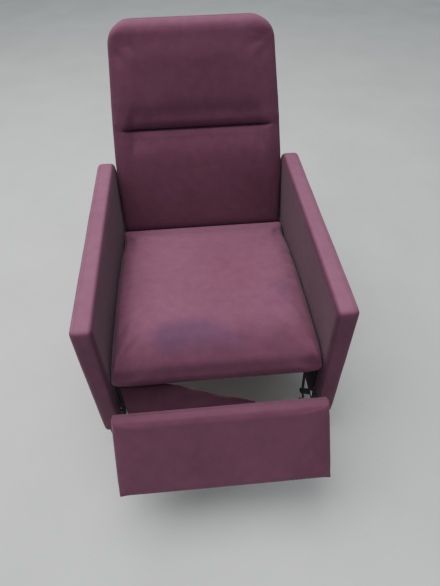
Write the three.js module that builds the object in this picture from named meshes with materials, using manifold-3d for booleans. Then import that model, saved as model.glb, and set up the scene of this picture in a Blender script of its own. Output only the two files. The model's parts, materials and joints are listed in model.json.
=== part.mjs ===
// Push-back recliner armchair. Millimetres, +Z up, the sitter faces -Y.
// Every length below is written in chair coordinates: X = 0 on the centre plane, Y = 0 at the fronts of
// the arms, Z = 0 on the floor. The finished chair is shifted along Y so that its box is centred.
import * as THREE from 'three';
import { mergeVertices } from 'three/addons/utils/BufferGeometryUtils.js';
import ManifoldModule from 'manifold-3d';

const wasm = await ManifoldModule();
wasm.setup();

// ---------------------------------------------------------------- driving dimensions
const OVERALL_WIDTH = 665;
const GAP = 0.5; // air left between pieces that touch
const ARM = { thick: 55, depth: 748, top: 560, bottom: 120, edge: 11, skin: 9, frontR: 16, rearR: 46 };
const LEG = { size: 44, foot: 30, inset: 34, rear: 690 };
const GLIDE = { r: 13, high: 6 };
const STRETCHER = { thick: 22, frontY: 215, frontZ: [122, 172], rearY: 700, rearZ: [125, 195] };
const SEAT = { halfWidth: 271, deckTop: 336, deckFlatTo: 110, deckRear: 600, deckRearZ: 290 };
const RAIL = { high: 45, thick: 22, inner: 205, outer: 234, front: 58 };
const PLATE = { x0: 262, x1: 265 };
const BACK = { y: 635, z: 338, recline: 17, length: 644, seam: 334, halfWidth: 270, depth: 128 };
const BACK_PIVOT = { y: 660, z: 290 };
const PAD = { halfWidth: 269, high: 208, thick: 42, board: 15, tilt: 34.7 };
const SPRING = { wire: 1.9, halfWide: 20, pitch: 40 };

// Footrest linkage at the stored pose: [Y, Z] of each pivot, one plane of 3 mm steel per link.
const REAR_PIVOT = [90, 251.7];
const LINK = { rear: 124.3, rearAngle: -82.9, upper: 188.3, upperAngle: 56.0 };
const ON_REAR = [20.86, 17.97]; // lower link's pin, past the knee and across the rear link
const ON_PANEL = { upper: [-43.3, 5], lower: [-36.09, 34.21] }; // outward and down from the panel's top back edge
const LAYER = { rear: 257.5, upper: 253, lower: 248.5, bracket: 244 };
const STEEL = 3;
const HEAD = 1; // thickness of a stud's head; the air between two links is 1.5
const REST = 1.3; // how far a stud runs past the link that it carries
const BAR = { half: 8, pin: 4, hole: 4.7, looseHole: 6.2, head: 6.6 };

// ---------------------------------------------------------------- derived values
const armInner = OVERALL_WIDTH / 2 - ARM.thick;
const rad = THREE.MathUtils.degToRad;
const deckZ = y => SEAT.deckTop - Math.max(0, y - SEAT.deckFlatTo)
  * (SEAT.deckTop - SEAT.deckRearZ) / (SEAT.deckRear - SEAT.deckFlatTo);
// a point reached from p by going `length` at `angle` degrees above straight forward (-Y)
const reach = (p, length, angle, across = 0) => [
  p[0] - length * Math.cos(rad(angle)) + across * Math.sin(rad(angle)),
  p[1] + length * Math.sin(rad(angle)) + across * Math.cos(rad(angle)),
];
const knee = reach(REAR_PIVOT, LINK.rear, LINK.rearAngle);
const toe = reach(knee, LINK.upper, LINK.upperAngle);
const onRear = reach(knee, ON_REAR[0], LINK.rearAngle, ON_REAR[1]);
const outward = [-Math.cos(rad(PAD.tilt)), Math.sin(rad(PAD.tilt))];
const down = [-Math.sin(rad(PAD.tilt)), -Math.cos(rad(PAD.tilt))];
const fromEdge = (edge, n, d) => [edge[0] + n * outward[0] + d * down[0], edge[1] + n * outward[1] + d * down[1]];
const panelEdge = fromEdge(toe, -ON_PANEL.upper[0], -ON_PANEL.upper[1]);
const heel = fromEdge(panelEdge, ...ON_PANEL.lower);

// ---------------------------------------------------------------- finishes
const finish = (name, color, roughness, metalness = 0) => ({ name, color, roughness, metalness });
const CLOTH = finish('burgundy_cloth', 0x7b4e63, 0.95);
const LINING = finish('black_cloth', 0x1c1c20, 0.95);
const WOOD = finish('frame_wood', 0xa98458, 0.8);
const LEG_WOOD = finish('dark_wood', 0x2c2019, 0.6);
const BLACK_STEEL = finish('black_steel', 0x1d1f22, 0.5, 0.6);
const ZINC = finish('zinc_steel', 0xb9bcc0, 0.35, 0.9);
const NYLON = finish('black_nylon', 0x17171a, 0.6);

// ---------------------------------------------------------------- solid helpers
const chair = new THREE.Group();
chair.name = 'recliner_armchair';

function add(name, geometry, look) {
  const material = new THREE.MeshStandardMaterial({
    name: look.name, color: look.color, roughness: look.roughness, metalness: look.metalness,
  });
  const mesh = new THREE.Mesh(geometry, material);
  mesh.name = name;
  chair.add(mesh);
  return mesh;
}

/** Weld a geometry by position so that it can be cut or joined. */
function solid(geometry) {
  const bare = new THREE.BufferGeometry();
  bare.setAttribute('position', geometry.getAttribute('position').clone());
  if (geometry.index) bare.setIndex(geometry.index.clone());
  const welded = mergeVertices(bare, 1e-3);
  const corners = [];
  for (let i = 0; i < welded.index.count; i += 3) {
    const [a, b, c] = [0, 1, 2].map(k => welded.index.getX(i + k));
    if (a !== b && b !== c && c !== a) corners.push(a, b, c);
  }
  const mesh = new wasm.Mesh({
    numProp: 3,
    vertProperties: new Float32Array(welded.getAttribute('position').array),
    triVerts: new Uint32Array(corners),
  });
  return new wasm.Manifold(mesh);
}

function geometryOf(manifold) {
  const mesh = manifold.getMesh();
  const geometry = new THREE.BufferGeometry();
  geometry.setAttribute('position', new THREE.BufferAttribute(new Float32Array(mesh.vertProperties), 3));
  geometry.setIndex(new THREE.BufferAttribute(new Uint32Array(mesh.triVerts), 1));
  geometry.computeVertexNormals();
  return geometry;
}

const join = (...pieces) => geometryOf(pieces.map(solid).reduce((a, b) => a.add(b)));
const cut = (from, ...tools) => geometryOf(tools.map(solid).reduce((a, b) => a.subtract(b), solid(from)));

function box(x0, x1, y0, y1, z0, z1) {
  return new THREE.BoxGeometry(x1 - x0, y1 - y0, z1 - z0)
    .translate((x0 + x1) / 2, (y0 + y1) / 2, (z0 + z1) / 2);
}

/** Turn geometry drawn with (x, y) = (Y, Z) and extruded along z so that it runs along X. */
const sideways = geometry => geometry.applyMatrix4(new THREE.Matrix4().makeBasis(
  new THREE.Vector3(0, 1, 0), new THREE.Vector3(0, 0, 1), new THREE.Vector3(1, 0, 0)));

/** Outline with rounded corners; corners are [x, y, radius] and go round anticlockwise. */
function roundedShape(corners, steps = 4) {
  const shape = new THREE.Shape();
  const count = corners.length;
  corners.forEach(([x, y, r = 0], i) => {
    const here = new THREE.Vector2(x, y);
    const before = new THREE.Vector2(...corners[(i + count - 1) % count]).sub(here).normalize();
    const after = new THREE.Vector2(...corners[(i + 1) % count]).sub(here).normalize();
    const half = before.angleTo(after) / 2;
    const centre = here.clone().addScaledVector(before.clone().add(after).normalize(), r / Math.sin(half));
    const start = here.clone().addScaledVector(before, r / Math.tan(half)).sub(centre);
    const sweep = (Math.PI - 2 * half) * Math.sign(after.cross(before));
    for (let k = 0; k <= (r ? steps : 0); k += 1) {
      const p = r ? start.clone().rotateAround(new THREE.Vector2(), sweep * k / steps).add(centre) : here;
      if (i === 0 && k === 0) shape.moveTo(p.x, p.y); else shape.lineTo(p.x, p.y);
    }
  });
  shape.closePath();
  return shape;
}

/** Shape pulled from `from` to `to` along its normal, with its edges softened by `edge`. */
function pulled(shape, from, to, edge = 0, segments = 2) {
  return new THREE.ExtrudeGeometry(shape, {
    depth: to - from - 2 * edge, bevelEnabled: edge > 0, bevelThickness: edge, bevelSize: edge,
    bevelOffset: -edge, bevelSegments: segments, curveSegments: 4, steps: 1,
  }).translate(0, 0, from + edge);
}

const sidePlate = (corners, x0, x1, edge = 0) => sideways(pulled(roundedShape(corners), x0, x1, edge));
const disc = ([y, z], r, x0, x1, sides = 16) => new THREE.CylinderGeometry(r, r, x1 - x0, sides)
  .rotateZ(Math.PI / 2).translate((x0 + x1) / 2, y, z);

/** Mirrored copy of a right-hand geometry for the left-hand side. */
function mirrored(geometry) {
  const other = geometry.index ? geometry.toNonIndexed() : geometry.clone();
  other.scale(-1, 1, 1);
  const p = other.getAttribute('position');
  for (let i = 0; i < p.count; i += 3) {
    const a = [p.getX(i + 1), p.getY(i + 1), p.getZ(i + 1)];
    p.setXYZ(i + 1, p.getX(i + 2), p.getY(i + 2), p.getZ(i + 2));
    p.setXYZ(i + 2, ...a);
  }
  other.computeVertexNormals();
  return other;
}

/** Add a right-hand piece and its left-hand mirror image. */
function addPair(name, geometry, look) {
  add(`right_${name}`, geometry, look);
  add(`left_${name}`, mirrored(geometry), look);
}

/** Flat steel bar between two pins, as a stadium. */
function bar(a, b, x0, half = BAR.half) {
  const along = new THREE.Vector2(b[0] - a[0], b[1] - a[1]);
  const turn = along.angle();
  const shape = new THREE.Shape();
  shape.absarc(along.length(), 0, half, -Math.PI / 2, Math.PI / 2, false);
  shape.absarc(0, 0, half, Math.PI / 2, Math.PI * 1.5, false);
  const flat = new THREE.ExtrudeGeometry(shape, { depth: STEEL, bevelEnabled: false, curveSegments: 8 });
  return sideways(flat.rotateZ(turn).translate(a[0], a[1], x0));
}

/** Stud staked into the piece at x = from, with a head beyond the piece that it carries, ending at x = to. */
function stud(at, from, to) {
  const inward = to < from;
  const headFrom = inward ? to : to - HEAD;
  const lo = Math.min(from, to);
  const hi = Math.max(from, to);
  return [disc(at, BAR.pin, lo, hi), disc(at, BAR.head, headFrom, headFrom + HEAD)];
}
const hole = (at, r = BAR.hole) => disc(at, r, LAYER.bracket - 20, PLATE.x1 + 20);

// ---------------------------------------------------------------- base: arms, legs, stretchers, rails
function buildBase() {
  const [x0, x1] = [armInner, OVERALL_WIDTH / 2];
  const skin = ARM.skin;
  const cover = sidePlate([
    [0, ARM.bottom, 13], [ARM.depth, ARM.bottom, 13],
    [ARM.depth, ARM.top, ARM.rearR], [0, ARM.top, ARM.frontR],
  ], x0, x1, ARM.edge);
  const hollow = box(x0 + skin, x1 - skin, skin, ARM.depth - skin, ARM.bottom - 20, ARM.top - 50);
  addPair('arm_cover', cut(cover, hollow), CLOTH);
  const inside = skin + GAP;
  addPair('arm_frame', box(x0 + inside, x1 - inside, inside, ARM.depth - inside,
    ARM.bottom, ARM.top - 50 - GAP), WOOD);

  const mid = (x0 + x1) / 2;
  for (const [place, y] of [['front', LEG.inset], ['rear', LEG.rear]]) {
    const leg = new THREE.CylinderGeometry(LEG.size / Math.SQRT2 - 5, LEG.foot / Math.SQRT2,
      ARM.bottom - GLIDE.high - 2 * GAP, 4, 1).rotateX(Math.PI / 2).rotateZ(Math.PI / 4)
      .translate(mid, y, (ARM.bottom + GLIDE.high) / 2);
    addPair(`${place}_leg`, leg, LEG_WOOD);
    const glide = new THREE.CylinderGeometry(GLIDE.r, GLIDE.r - 1.5, GLIDE.high, 20)
      .rotateX(Math.PI / 2).translate(mid, y, GLIDE.high / 2);
    addPair(`${place}_glide`, glide, NYLON);
  }

  const reachX = armInner - GAP;
  add('front_stretcher', box(-reachX, reachX, STRETCHER.frontY, STRETCHER.frontY + STRETCHER.thick,
    ...STRETCHER.frontZ), WOOD);
  add('rear_stretcher', box(-reachX, reachX, STRETCHER.rearY, STRETCHER.rearY + STRETCHER.thick,
    ...STRETCHER.rearZ), WOOD);
  addPair('base_rail', join(box(273, armInner - GAP, 40, 700, 196, 300), box(236, 274, 215, 695, 196, 200)),
    BLACK_STEEL);
}

// ---------------------------------------------------------------- seat: side plates, deck and cushion
/** Flat zigzag wire between two points of the YZ plane, swinging along X about x. */
function zigzag(x, from, to) {
  const span = Math.hypot(to[0] - from[0], to[1] - from[1]);
  const bends = 2 * Math.round(span / SPRING.pitch);
  const points = [];
  for (let k = 0; k <= bends; k += 1) {
    const t = k / bends;
    const side = k === 0 || k === bends ? 0 : (k % 2 ? 1 : -1) * SPRING.halfWide;
    points.push(new THREE.Vector3(x + side, from[0] + t * (to[0] - from[0]), from[1] + t * (to[1] - from[1])));
  }
  const path = new THREE.CurvePath();
  for (let k = 0; k < bends; k += 1) path.add(new THREE.LineCurve3(points[k], points[k + 1]));
  const section = new THREE.Shape();
  section.absellipse(0, 0, SPRING.wire, SPRING.wire, 0, Math.PI * 2);
  const route = new THREE.CatmullRomCurve3(points, false, 'centripetal');
  return new THREE.ExtrudeGeometry(section, {
    steps: bends * 2, extrudePath: route, curveSegments: 3, bevelEnabled: false,
  });
}

function buildSeat() {
  const deckGap = 3 + GAP;
  const deckStrip = (y0, y1, top, low) => [[y0, deckZ(y0) - low], [SEAT.deckFlatTo, deckZ(0) - low],
    [y1, deckZ(y1) - low], [y1, deckZ(y1) - top], [SEAT.deckFlatTo, deckZ(0) - top], [y0, deckZ(y0) - top]];
  const railFrom = RAIL.front;
  const railTo = SEAT.deckRear;
  addPair('seat_side_rail', sidePlate(deckStrip(railFrom, railTo, deckGap, deckGap + RAIL.high),
    RAIL.inner, RAIL.outer), WOOD);
  const crossX = RAIL.inner - GAP;
  for (const [place, y] of [['front', railFrom], ['rear', railTo - RAIL.thick]]) {
    const z = deckZ(y + RAIL.thick) - deckGap;
    add(`seat_${place}_rail`, box(-crossX, crossX, y, y + RAIL.thick, z - RAIL.high, z), WOOD);
  }
  [-150, -50, 50, 150].forEach((x, i) => {
    const [y0, y1] = [railFrom + RAIL.thick + 2, railTo - RAIL.thick - 2];
    add(`seat_spring_${i + 1}`, zigzag(x, [y0, deckZ(y0) - 12], [y1, deckZ(y1) - 12]), BLACK_STEEL);
  });

  const web = sidePlate([
    [60, 262], [74, 234], [118, 232], [240, 222], [600, 222], [640, 262], [684, 270], [684, 306],
    [640, 302], [SEAT.deckRear, deckZ(SEAT.deckRear)], [SEAT.deckFlatTo, SEAT.deckTop], [60, SEAT.deckTop],
  ], PLATE.x0, PLATE.x1);
  const flange = sidePlate([[190, deckZ(190) - 3], [600, deckZ(600) - 3], [600, deckZ(600)], [190, deckZ(190)]],
    RAIL.inner + 2, PLATE.x0 + 1);
  const studs = [...stud(REAR_PIVOT, PLATE.x0 + 1, LAYER.rear - REST),
    ...stud([BACK_PIVOT.y, BACK_PIVOT.z], PLATE.x0 + 1, 234.7)];
  addPair('seat_plate', join(web, flange, ...studs), BLACK_STEEL);
  addPair('seat_runner', box(255, 271.5, 255, 590, 200.3, 222 - GAP), NYLON);

  const top = [[620, 354], [540, 374], [455, 391], [322, 407], [187, 415], [78, 420], [30, 416]];
  const cushion = roundedShape([[6, 340, 10], [SEAT.deckFlatTo, 338.5], [SEAT.deckRear, 292], [614, 300],
    ...top, [4, 402, 10], [-6, 372, 10]], 3);
  add('seat_cushion', sideways(pulled(cushion, -SEAT.halfWidth, SEAT.halfWidth, 8)), CLOTH);
}

// ---------------------------------------------------------------- back: frame, pads and outside cover
function buildBack() {
  const lean = new THREE.Matrix4().makeTranslation(0, BACK.y, BACK.z)
    .multiply(new THREE.Matrix4().makeRotationX(-rad(BACK.recline)));
  // back coordinates: X, depth behind the front of the pads, height along the back
  const place = geometry => geometry.applyMatrix4(lean);
  const upright = geometry => geometry.applyMatrix4(new THREE.Matrix4().makeBasis(
    new THREE.Vector3(1, 0, 0), new THREE.Vector3(0, 0, 1), new THREE.Vector3(0, -1, 0)));
  // front view outline pulled from depth d0 to d1
  const slab = (corners, d0, d1, edge = 0) => upright(pulled(roundedShape(corners, 5), -d1, -d0, edge));
  const outline = (inset, z0, z1, r) => {
    const half = z => (z < 335 ? BACK.halfWidth : THREE.MathUtils.mapLinear(z, 335, 644, 265, 238)) - inset;
    const sides = [z0, ...[335, 500].filter(z => z > z0 + 20 && z < z1 - 20), z1];
    const right = sides.map((z, i) => [half(z), z, i === 0 ? Math.min(r, 15) : (i === sides.length - 1 ? r : 0)]);
    return [...right, ...right.slice().reverse().map(([x, z, c]) => [-x, z, c])];
  };
  add('lumbar_cushion', place(slab(outline(0, 6, BACK.seam - 2, 15), 0, 84, 10)), CLOTH);
  add('head_cushion', place(slab(outline(0, BACK.seam + 2, BACK.length - 4, 60), -12, 84, 12)), CLOTH);

  const tray = slab(outline(0, 2, BACK.length, 58), 85, BACK.depth, 4);
  const pocket = slab(outline(9, 12, BACK.length - 9, 50), 60, BACK.depth - 8);
  const mouth = box(-228, 228, 60, BACK.depth - 8, -10, 40);
  const slots = [1, -1].map(s => box(...(s > 0 ? [232, 248] : [-248, -232]), 60, BACK.depth - 8, -10, 40));
  add('outside_back', place(cut(tray, pocket, mouth, ...slots)), CLOTH);

  const [d0, d1] = [87, 117];
  addPair('back_stile', place(box(200, 228, d0, d1, 20, 560)), WOOD);
  const railX = 200 - GAP;
  add('back_top_rail', place(box(-railX, railX, d0, d1, 515, 560)), WOOD);
  add('back_bottom_rail', place(box(-railX, railX, d0, d1, 20, 65)), WOOD);
  [-120, 0, 120].forEach((x, i) => {
    add(`back_spring_${i + 1}`, place(zigzag(x, [d0 + 12, 68], [d0 + 12, 512])), BLACK_STEEL);
  });

  const pivot = new THREE.Vector3(0, BACK_PIVOT.y, BACK_PIVOT.z).applyMatrix4(lean.clone().invert());
  const at = [pivot.y, pivot.z];
  const arm = sidePlate([
    [at[0] - 14, at[1] - 10, 6], [at[0] + 14, at[1] - 14, 8], [116, 2, 6], [116, 90, 4], [90, 90, 4],
    [90, 6, 2], [at[0] - 14, at[1] + 14, 8],
  ], 236, 240);
  addPair('back_bracket', place(cut(arm, disc(at, BAR.hole, 200, 260))), BLACK_STEEL);
}

// ---------------------------------------------------------------- footrest: panel, pad and linkage
function buildFootrest() {
  // panel coordinates: X, distance in from the panel's back, height above its top edge
  const lean = new THREE.Matrix4().makeBasis(new THREE.Vector3(1, 0, 0),
    new THREE.Vector3(0, ...outward).negate(), new THREE.Vector3(0, ...down).negate());
  const place = geometry => geometry.applyMatrix4(
    lean.clone().setPosition(0, panelEdge[0], panelEdge[1]));
  const panel = (half, out0, out1, top, low, edge, r) => {
    const shape = roundedShape([[-half, low, r], [half, low, r], [half, top, r], [-half, top, r]], 3);
    return pulled(shape, out0, out1, edge).applyMatrix4(new THREE.Matrix4().makeBasis(
      new THREE.Vector3(1, 0, 0), new THREE.Vector3(0, 0, 1), new THREE.Vector3(0, -1, 0)));
  };
  const seatOn = PAD.board;
  add('footrest_board', place(panel(PAD.halfWidth - 8, 0, seatOn, -6, 6 - PAD.high, 0, 0)), WOOD);
  add('footrest_pad', place(panel(PAD.halfWidth, seatOn + GAP, PAD.thick, 0, -PAD.high, 6, 8)), CLOTH);

  const [u, l] = [ON_PANEL.upper, ON_PANEL.lower].map(([n, d]) => [-n, -d]);
  const web = sidePlate([
    [GAP, 4, 1], [GAP, -130, 1], [14, -130, 4], [l[0] - 4, l[1] - 14, 8], [l[0] + 10, l[1] - 10, 8],
    [u[0] + 10, u[1] + 10, 8], [4, 6, 3],
  ].reverse(), LAYER.bracket, LAYER.bracket + STEEL);
  const tab = box(216, LAYER.bracket + STEEL, GAP, GAP + STEEL, -130, -24);
  const bracket = cut(join(web, tab), disc(u, BAR.hole, 200, 300), disc(l, BAR.looseHole, 200, 300));
  addPair('footrest_bracket', place(bracket), BLACK_STEEL);

  const inner = LAYER.bracket - REST;
  addPair('rear_link', cut(join(bar(REAR_PIVOT, knee, LAYER.rear), bar(knee, onRear, LAYER.rear),
    ...stud(knee, LAYER.rear + 1, LAYER.upper - REST), ...stud(onRear, LAYER.rear + 1, LAYER.lower - REST)),
    hole(REAR_PIVOT)), BLACK_STEEL);
  addPair('upper_link', cut(join(bar(knee, toe, LAYER.upper), ...stud(toe, LAYER.upper + 1, inner)),
    hole(knee)), BLACK_STEEL);
  addPair('lower_link', cut(join(bar(onRear, heel, LAYER.lower), ...stud(heel, LAYER.lower + 1, inner)),
    hole(onRear)), ZINC);
}

// ---------------------------------------------------------------- front apron: torn cloth strip
/** Closed thin sheet over a grid of points: rows[i][j] is a THREE.Vector3. */
function sheetSolid(rows, thick) {
  const [m, n] = [rows.length, rows[0].length];
  const positions = [];
  const index = [];
  const id = (i, j, side) => side * m * n + i * n + j;
  for (const side of [0, 1]) {
    for (let i = 0; i < m; i += 1) {
      for (let j = 0; j < n; j += 1) {
        const alongI = rows[Math.min(i + 1, m - 1)][j].clone().sub(rows[Math.max(i - 1, 0)][j]);
        const alongJ = rows[i][Math.min(j + 1, n - 1)].clone().sub(rows[i][Math.max(j - 1, 0)]);
        const normal = alongI.cross(alongJ).normalize();
        const p = rows[i][j].clone().addScaledVector(normal, (side - 0.5) * thick);
        positions.push(p.x, p.y, p.z);
      }
    }
  }
  const quad = (a, b, c, d) => index.push(a, b, c, a, c, d);
  for (let i = 0; i < m - 1; i += 1) {
    for (let j = 0; j < n - 1; j += 1) {
      quad(id(i, j, 1), id(i + 1, j, 1), id(i + 1, j + 1, 1), id(i, j + 1, 1));
      quad(id(i, j, 0), id(i, j + 1, 0), id(i + 1, j + 1, 0), id(i + 1, j, 0));
    }
  }
  for (let i = 0; i < m - 1; i += 1) {
    quad(id(i, 0, 0), id(i + 1, 0, 0), id(i + 1, 0, 1), id(i, 0, 1));
    quad(id(i, n - 1, 1), id(i + 1, n - 1, 1), id(i + 1, n - 1, 0), id(i, n - 1, 0));
  }
  for (let j = 0; j < n - 1; j += 1) {
    quad(id(0, j, 1), id(0, j + 1, 1), id(0, j + 1, 0), id(0, j, 0));
    quad(id(m - 1, j, 0), id(m - 1, j + 1, 0), id(m - 1, j + 1, 1), id(m - 1, j, 1));
  }
  const geometry = new THREE.BufferGeometry();
  geometry.setAttribute('position', new THREE.Float32BufferAttribute(positions, 3));
  geometry.setIndex(index);
  geometry.computeVertexNormals();
  return geometry;
}

function buildApron() {
  const seatEdge = [[-246, 4, 335], [-205, 4, 335], [-165, 4, 335], [-128, 4, 334], [-70, -16, 331],
    [-12, -38, 327], [56, -52, 323]];
  const panelTop = [[-228, -59, 322], [-190, -59, 322], [-150, -59, 322], [-108, -59, 321], [-60, -59, 321],
    [-6, -59, 321], [58, -59, 321]];
  const rows = seatEdge.map((a, i) => [0, 0.25, 0.5, 0.75, 1].map((t) => {
    const p = new THREE.Vector3(...a).lerp(new THREE.Vector3(...panelTop[i]), t);
    p.z -= 9 * Math.sin(Math.PI * t) * (1 - i / (seatEdge.length - 1));
    return p;
  }));
  add('front_apron', sheetSolid(rows, 2), CLOTH);
}

buildBase();
buildSeat();
buildBack();
buildFootrest();
buildApron();

const bounds = new THREE.Box3().setFromObject(chair);
const shiftY = -(bounds.min.y + bounds.max.y) / 2;
chair.children.forEach(mesh => mesh.geometry.translate(0, shiftY, 0));

export default chair;
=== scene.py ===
import json
import logging
import math
from dataclasses import dataclass, field
from enum import Enum
from typing import Callable, Iterable

import bmesh
import bpy
import numpy as np
from mathutils import Matrix, Vector, noise


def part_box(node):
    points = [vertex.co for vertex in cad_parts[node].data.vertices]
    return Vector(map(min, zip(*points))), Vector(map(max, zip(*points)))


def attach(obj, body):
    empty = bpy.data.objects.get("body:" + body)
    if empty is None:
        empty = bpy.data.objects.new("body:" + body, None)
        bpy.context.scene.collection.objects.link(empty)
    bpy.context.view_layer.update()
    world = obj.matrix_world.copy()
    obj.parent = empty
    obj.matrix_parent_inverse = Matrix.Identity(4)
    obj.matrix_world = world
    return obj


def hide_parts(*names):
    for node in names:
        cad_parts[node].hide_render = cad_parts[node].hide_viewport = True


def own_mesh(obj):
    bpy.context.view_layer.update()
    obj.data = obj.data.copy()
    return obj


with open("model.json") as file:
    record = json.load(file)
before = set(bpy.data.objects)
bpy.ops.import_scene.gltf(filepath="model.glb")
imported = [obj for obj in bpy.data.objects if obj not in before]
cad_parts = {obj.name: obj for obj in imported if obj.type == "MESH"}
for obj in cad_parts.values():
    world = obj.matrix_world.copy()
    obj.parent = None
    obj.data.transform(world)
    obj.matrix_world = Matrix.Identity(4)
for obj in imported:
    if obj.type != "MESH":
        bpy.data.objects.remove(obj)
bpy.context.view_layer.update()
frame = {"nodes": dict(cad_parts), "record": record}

LOG = logging.getLogger("recliner")
Points = np.ndarray
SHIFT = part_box("right_arm_cover")[0].y  # the arms' front plane in the row frame


def mm(x: float, y: float, z: float) -> Vector:
    """Chair millimetres (Y = 0 at the arms' front plane) as a row-frame point in metres."""
    return Vector((x / 1000, y / 1000 + SHIFT, z / 1000))


class Side(Enum):
    """The two hands of the chair, seen from in front."""

    RIGHT = 1
    LEFT = -1

    @property
    def word(self) -> str:
        """The side's name as the CAD nodes spell it."""
        return self.name.lower()


class Body(Enum):
    """The rigid bodies that pieces ride on."""

    BASE = "base"
    SEAT = "seat"
    BACK = "back"
    FOOTREST = "footrest"
    REAR_LINKS = "rear_links"
    UPPER_LINKS = "upper_links"
    LOWER_LINKS = "lower_links"


# ------------------------------------------------------------------------------------------ finishes
class NodeBench:
    """Lays out the shader nodes of one material."""

    def __init__(self, name: str) -> None:
        """Start a node material with a Principled surface.

        Args:
            name: the material's name.
        """
        self.material = bpy.data.materials.new(name)
        self.material.use_nodes = True
        self.tree = self.material.node_tree
        self.surface = self.tree.nodes["Principled BSDF"]

    def add(self, kind: str, inputs: dict | None = None, **settings: object) -> bpy.types.Node:
        """Add a node.

        Args:
            kind: the node's type name without the ShaderNode prefix.
            inputs: socket values, or sockets to link from, by name or index.
            settings: properties of the node itself.

        Returns:
            The new node.
        """
        node = self.tree.nodes.new("ShaderNode" + kind)
        for key, value in settings.items():
            setattr(node, key, value)
        for key, value in (inputs or {}).items():
            if isinstance(value, bpy.types.NodeSocket):
                self.tree.links.new(value, node.inputs[key])
            else:
                node.inputs[key].default_value = value
        return node

    def place(self) -> bpy.types.NodeSocket:
        """The Object coordinate of the piece."""
        return self.add("TexCoord").outputs["Object"]

    def attribute(self, name: str) -> bpy.types.NodeSocket:
        """A float attribute painted on the piece's own points."""
        return self.add("Attribute", attribute_name=name).outputs["Fac"]

    def grain(self, scale: float, detail: float = 3.0, where: bpy.types.NodeSocket | None = None
              ) -> bpy.types.NodeSocket:
        """Noise over the piece, from 0 to 1."""
        return self.add("TexNoise", {"Vector": where or self.place(), "Scale": scale,
                                     "Detail": detail}).outputs["Fac"]

    def math(self, operation: str, a: object, b: object = 0.0, c: object = 0.0) -> bpy.types.NodeSocket:
        """A maths node's result."""
        return self.add("Math", {0: a, 1: b, 2: c}, operation=operation).outputs[0]

    def blend(self, factor: object, a: object, b: object, mode: str = "MIX") -> bpy.types.NodeSocket:
        """Two colours mixed by a factor."""
        node = self.add("Mix", {0: factor, 6: a, 7: b}, data_type="RGBA", blend_type=mode)
        return node.outputs[2]

    def spread(self, value: object, low: float, high: float, to_low: float, to_high: float
               ) -> bpy.types.NodeSocket:
        """A value carried from one range to another, clamped."""
        return self.add("MapRange", {0: value, 1: low, 2: high, 3: to_low, 4: to_high}).outputs[0]

    def wire(self, socket: bpy.types.NodeSocket, name: str) -> None:
        """Feed a socket of the surface shader."""
        self.tree.links.new(socket, self.surface.inputs[name])

    def relief(self, height: bpy.types.NodeSocket, strength: float, depth: float) -> None:
        """Bump the surface.

        Args:
            height: the height pattern.
            strength: how strongly it shows.
            depth: the height's size in metres.
        """
        bump = self.add("Bump", {"Strength": strength, "Distance": depth, "Height": height})
        self.wire(bump.outputs[0], "Normal")


@dataclass(frozen=True)
class Upholstery:
    """Finely woven plum cloth, paler where it faces up from fading and painted light, with soiling, dark
    seams and painted shade.
    """

    name: str
    shade: tuple[float, float, float]
    faded_and_lit: tuple[float, float, float]
    stain: tuple[float, float, float] = (0.104, 0.052, 0.108)
    rust: tuple[float, float, float] = (0.150, 0.030, 0.045)
    thread: float = 0.0011
    mottle: float = 0.075

    def build(self) -> bpy.types.Material:
        """Make the material."""
        bench = NodeBench(self.name)
        where = bench.place()
        broad = bench.spread(bench.grain(5.5, 3.0, where), 0.3, 0.7, -0.07, 0.07)
        # Paleness from fading plus painted light on up-facing faces, with broad random tone.
        fade_and_light = bench.math("ADD", bench.attribute("fade_and_light"), broad)
        cloth = bench.blend(bench.spread(fade_and_light, 0.0, 1.0, 0.0, 1.0), (*self.shade, 1), (*self.faded_and_lit, 1))
        cloth = bench.blend(bench.attribute("stain"), cloth, (*self.stain, 1))
        cloth = bench.blend(bench.attribute("rust"), cloth, (*self.rust, 1))
        patch = bench.spread(bench.grain(38.0, 5.0, where), 0.25, 0.75, 1 - self.mottle, 1 + self.mottle)
        fibre = bench.spread(bench.grain(900.0, 2.0, where), 0.2, 0.8, 0.90, 1.10)
        tone = bench.math("MULTIPLY", patch, fibre)
        # Darker along sewn seams, and painted shade in hollows, on the arms' inner faces and under the seat.
        seam_and_shade_tone = bench.spread(bench.attribute("seam_and_shade"), 0.0, 1.0, 1.0, 0.42)
        tone = bench.math("MULTIPLY", tone, seam_and_shade_tone)
        tint = bench.add("CombineColor", {0: tone, 1: tone, 2: tone}).outputs[0]
        bench.wire(bench.blend(1.0, cloth, tint, "MULTIPLY"), "Base Color")
        bench.wire(bench.spread(patch, 0.9, 1.1, 0.96, 0.86), "Roughness")
        bench.surface.inputs["Specular IOR Level"].default_value = 0.16
        bench.surface.inputs["Sheen Weight"].default_value = 0.22
        bench.surface.inputs["Sheen Roughness"].default_value = 0.45
        bench.surface.inputs["Sheen Tint"].default_value = (0.86, 0.66, 0.78, 1)
        pitch = 2 * math.pi / (20 * self.thread)
        weave = None
        for axis in "XYZ":
            wave = bench.add("TexWave", {"Vector": where, "Scale": pitch, "Distortion": 0.6, "Detail": 1.0,
                                         "Detail Scale": 0.6}, bands_direction=axis).outputs["Fac"]
            weave = wave if weave is None else bench.math("ADD", weave, wave)
        crumple = bench.spread(bench.grain(20.0, 2.0, where), 0.3, 0.7, 0.0, 2.5)
        bench.relief(bench.math("ADD", weave, crumple), 0.35, 0.00022)
        return bench.material


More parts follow.
